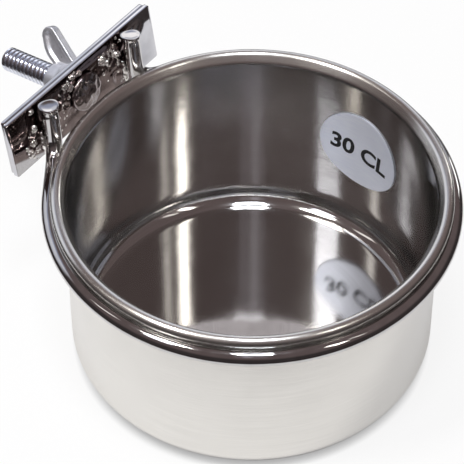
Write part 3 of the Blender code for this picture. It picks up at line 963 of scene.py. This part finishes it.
def tinted_chrome_material(name, tone, dark_reflection, ripple):
    """Plating with a painted dark reflection in dark brown on its front, but for its right end and low left
    corner, where it shows light.
    """
    material = chrome_material(name, tone, ripple)
    tree = material.node_tree
    base = tree.nodes["Principled BSDF"].inputs["Base Color"]
    plain = base.links[0].from_socket
    place = coordinates(tree)
    cloud = speckle(tree, place, 420.0, detail=3.0)
    # Dark brown painted over the front face as a painted dark reflection of the room
    painted_dark = tones(tree, cloud, [(0.35, dark_reflection), (0.75, [channel * 1.5 for channel in dark_reflection])])

    across = distance_along(tree, place, Vector((1, 0, 0)))
    wave = between(tree, cloud, -PLATE_RIGHT_WAVE, PLATE_RIGHT_WAVE)
    right = between(tree, arithmetic(tree, "ADD", across, wave), 0.0, 1.0, *PLATE_RIGHT_FROM)
    face = LEAN_OUT.dot(CLAMP_CENTRE) * MM
    rear_from = [face + depth for depth in PLATE_REAR_FROM]
    rear = between(tree, distance_along(tree, place, LEAN_OUT), 0.0, 1.0, *rear_from)
    slope = LEAN_UP + Vector((CORNER_SLOPE, 0, 0))
    corner = slope.dot(CLAMP_CENTRE) * MM - CORNER_DROP
    up_slope = distance_along(tree, place, slope)
    low = between(tree, up_slope, 1.0, 0.0, corner - CORNER_FADE, corner + CORNER_FADE)

    # Plain plating where the painted dark reflection stops
    unpainted_parts = arithmetic(tree, "MAXIMUM", arithmetic(tree, "MAXIMUM", low, right), rear)
    tree.links.new(blended(tree, unpainted_parts, painted_dark, plain), base)
    return material


def zinc_material():
    """Blue-white zinc on the bolt, with a fine grain and a head painted dark brown as a painted dark
    reflection.
    """
    material, tree, shader = new_material("bolt_zinc")
    place = coordinates(tree)
    grain = speckle(tree, place, 1500.0, detail=4.0)
    patch = speckle(tree, place, 300.0, detail=2.0)
    zinc = shades(tree, patch, *ZINC)
    # Painted dark reflection on the head
    painted_dark = shades(tree, patch, *PAINTED_DARK_ZINC)
    seat = (LEAN_OUT.dot(CLAMP_CENTRE) - SEAT_GAP) * MM
    out = distance_along(tree, place, LEAN_OUT)
    shank = between(tree, out, 0.0, 1.0, seat - HEAD_FADE, seat + HEAD_FADE)
    colour = blended(tree, shank, painted_dark, zinc)
    rough = between(tree, grain, 0.14, 0.24)
    plug(tree, shader, colour, rough, bumped(tree, grain, depth=0.00004, strength=0.3), metallic=1.0)
    return material


def casting_material():
    """Zinc over a grainy casting."""
    material, tree, shader = new_material("nut_casting")
    place = coordinates(tree)
    grain = speckle(tree, place, 1900.0, detail=5.0, roughness=0.6)
    patch = speckle(tree, place, 400.0, detail=2.0)
    colour = shades(tree, patch, *CASTING)
    rough = between(tree, grain, 0.26, 0.42)
    plug(tree, shader, colour, rough, bumped(tree, grain, depth=0.00012, strength=0.5), metallic=0.7)
    return material


def foil_material():
    """Satin silver foil with a fine drawn grain along the print."""
    material, tree, shader = new_material("label_foil")
    place = coordinates(tree)
    stretch = node(tree, "ShaderNodeMapping", {"Vector": place, "Scale": (1.0, 1.0, 14.0)}).outputs[0]
    grain = speckle(tree, stretch, 260.0, detail=4.0)
    colour = shades(tree, grain, *FOIL)
    rough = between(tree, grain, 0.34, 0.46)
    plug(tree, shader, colour, rough, bumped(tree, grain, depth=0.00003, strength=0.25), metallic=0.4)
    return material


def ink_material():
    """Dark print with slightly uneven cover."""
    material, tree, shader = new_material("label_ink")
    place = coordinates(tree)
    cover = speckle(tree, place, 1800.0, detail=3.0)
    colour = shades(tree, cover, *INK)
    rough = between(tree, cover, 0.55, 0.70)
    plug(tree, shader, colour, rough, bumped(tree, cover, depth=0.00001, strength=0.3), metallic=0.0)
    shader.inputs["Specular IOR Level"].default_value = 0.25
    return material


def floor_material():
    """Pale paper that shows near white, also in metal, and keeps a shadow."""
    material, tree, shader = new_material("studio_paper")
    place = coordinates(tree)
    fibre = speckle(tree, place, 700.0, detail=4.0)
    tree.links.new(shades(tree, fibre, *PAPER), shader.inputs["Base Color"])
    shader.inputs["Roughness"].default_value = 0.9
    shader.inputs["Specular IOR Level"].default_value = 0.1
    rays = node(tree, "ShaderNodeLightPath").outputs
    seen = arithmetic(tree, "MAXIMUM", rays["Is Camera Ray"], rays["Is Transmission Ray"])
    straight = arithmetic(tree, "MULTIPLY", seen, SHEET_WHITE)
    mirrored = arithmetic(tree, "MULTIPLY", rays["Is Glossy Ray"], SHEET_WHITE_MIRRORED)
    share = arithmetic(tree, "MAXIMUM", straight, mirrored)
    openness = node(tree, "ShaderNodeAmbientOcclusion", {"Distance": CONTACT_REACH}, samples=8).outputs["AO"]
    contact = between(tree, openness, CONTACT_DARK, 1.0, *CONTACT_OPENNESS)
    glow = node(tree, "ShaderNodeEmission", {"Strength": contact})
    mix = node(tree, "ShaderNodeMixShader", {0: share, 1: shader.outputs[0], 2: glow.outputs[0]})
    tree.links.new(mix.outputs[0], tree.nodes["Material Output"].inputs["Surface"])
    return material


# Stage

def make_floor():
    """A round sheet of paper under the part."""
    bm = bmesh.new()
    bmesh.ops.create_circle(bm, cap_ends=True, segments=SHEET_SIDES, radius=SHEET_RADIUS / MM)
    floor = mesh_object("studio_floor", bm, floor_material())
    floor.location = VIEW_FORWARD * SHEET_SHIFT - Vector((0, 0, SHEET_DROP))


def direction_from_camera(turn, elevation):
    """A direction by its turn to the camera's right and its height, seen from the part."""
    back = Matrix.Rotation(math.radians(turn), 3, "Z") @ (-VIEW_FORWARD)
    lift = math.radians(elevation)
    return back * math.cos(lift) + Vector((0, 0, math.sin(lift)))


def soft_box(name, turn, elevation, width, height, watts, colour):
    """A rectangular lamp that faces the part."""
    lamp = bpy.data.lights.new(name, "AREA")
    lamp.shape = "RECTANGLE"
    lamp.size = width
    lamp.size_y = height
    lamp.energy = watts
    lamp.color = colour
    obj = bpy.data.objects.new(name, lamp)
    aim = direction_from_camera(turn, elevation)
    obj.location = VIEW_TARGET + aim * LAMP_DISTANCE
    obj.rotation_euler = aim.to_track_quat("Z", "Y").to_euler()
    bpy.context.scene.collection.objects.link(obj)


def make_lamps():
    """Two strong lamps from above, three behind, and weak tall strips that the steel mirrors."""
    for lamp in LAMPS:
        soft_box(*lamp)


def make_world():
    """A dim brown room that is pale behind the part."""
    world = bpy.data.worlds.new("studio_room")
    world.use_nodes = True
    bpy.context.scene.world = world
    tree = world.node_tree
    way = node(tree, "ShaderNodeTexCoord").outputs["Generated"]
    parts = node(tree, "ShaderNodeSeparateXYZ", {0: way}).outputs
    level = node(tree, "ShaderNodeCombineXYZ", {"X": parts["X"], "Y": parts["Y"]}).outputs[0]
    heading = node(tree, "ShaderNodeVectorMath", {0: level}, operation="NORMALIZE").outputs[0]
    middle = Matrix.Rotation(math.radians(BACKDROP_TURN), 3, "Z") @ VIEW_FORWARD
    facing = distance_along(tree, heading, middle)
    edge = between(tree, parts["Z"], *BACKDROP_FACING, *BACKDROP_HEIGHTS)
    behind = between(tree, arithmetic(tree, "SUBTRACT", facing, edge), 0.0, 1.0, 0.0, BACKDROP_SOFTNESS)
    around = tones(tree, parts["Z"], ROOM_STOPS)
    backdrop = tones(tree, parts["Z"], BACKDROP_STOPS)
    colour = blended(tree, behind, around, backdrop)
    tree.links.new(colour, tree.nodes["Background"].inputs["Color"])


def make_camera():
    """The photo's viewpoint, turned so that the ring's centre lands where it is seen."""
    camera = bpy.data.cameras.new("photo_camera")
    camera.sensor_width = SENSOR
    camera.lens = FOCAL_PIXELS * SENSOR / IMAGE_SIZE
    camera.clip_start = NEAREST_SEEN
    camera.clip_end = FARTHEST_SEEN
    obj = bpy.data.objects.new("photo_camera", camera)
    back = -VIEW_FORWARD * math.cos(VIEW_ELEVATION) + Vector((0, 0, math.sin(VIEW_ELEVATION)))
    obj.location = VIEW_TARGET + back * VIEW_DISTANCE
    turn = Matrix.Rotation(math.atan2(TARGET_RIGHT, FOCAL_PIXELS), 4, "Y")
    tilt = Matrix.Rotation(-math.atan2(TARGET_UP, FOCAL_PIXELS), 4, "X")
    roll = Matrix.Rotation(VIEW_ROLL, 4, "Z")
    look = back.to_track_quat("Z", "Y").to_matrix().to_4x4()
    obj.rotation_euler = (look @ turn @ tilt @ roll).to_euler()
    bpy.context.scene.collection.objects.link(obj)
    bpy.context.scene.camera = obj


# Assembly

def add_piece(piece, nodes, body):
    """Puts a finer piece in the place of its CAD nodes, on their body."""
    for name in nodes:
        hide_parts(name)
    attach(piece, body)


def add_clamp():
    """The welded front plate, the loose jaw plate behind it, the bolt and its nut."""
    # The front plate and the weld splashes on it carry a painted dark reflection in dark brown
    plate_chrome = tinted_chrome_material("plate_chrome", PLATE_TONE, PAINTED_DARK_REFLECTION, ripple=0.00010)
    jaw_chrome = chrome_material("jaw_chrome", JAW_TONE, ripple=0.00006)
    # Lighter copy of the plating: painted glints on the weld metal
    weld_chrome = chrome_material("weld_chrome", WELD_TONE_WITH_GLINT, ripple=0.00020, dull=0.20)
    for weld in make_welds(weld_chrome):
        add_piece(weld, [], "holder")
    for splash in make_splashes(plate_chrome) + [make_spatter(weld_chrome)]:
        add_piece(splash, [], "holder")
    front = make_plate("clamp_plate", PLATE_WIDTH, 0, (PLATE_EDGE, INNER_EDGE), plate_chrome)
    add_piece(front, ["front_plate"], "holder")
    jaw_y = JAW_FACE_Y - GAP_FILL
    back = make_plate("jaw_plate", BACK_PLATE_WIDTH, jaw_y, (INNER_EDGE, PLATE_EDGE), jaw_chrome)
    add_piece(back, ["back_plate"], "jaw")
    add_piece(make_bolt(zinc_material()), ["clamp_bolt"], "holder")
    add_piece(make_nut(casting_material()), ["wing_nut"], "nut")


def main():
    """Builds the pieces, then the stage round them."""
    ring_chrome = chrome_material("ring_chrome", RING_TONE, ripple=0.00008)
    add_piece(make_cup(steel_material()), ["cup"], "cup")
    add_piece(make_label(foil_material()), ["capacity_label"], "cup")
    add_piece(make_label_text(ink_material()), [], "cup")
    add_piece(make_ring(ring_chrome), ["holder_ring"], "holder")
    add_clamp()

    make_floor()
    make_lamps()
    make_world()
    make_camera()
    bpy.context.scene.view_settings.view_transform = "Standard"


main()
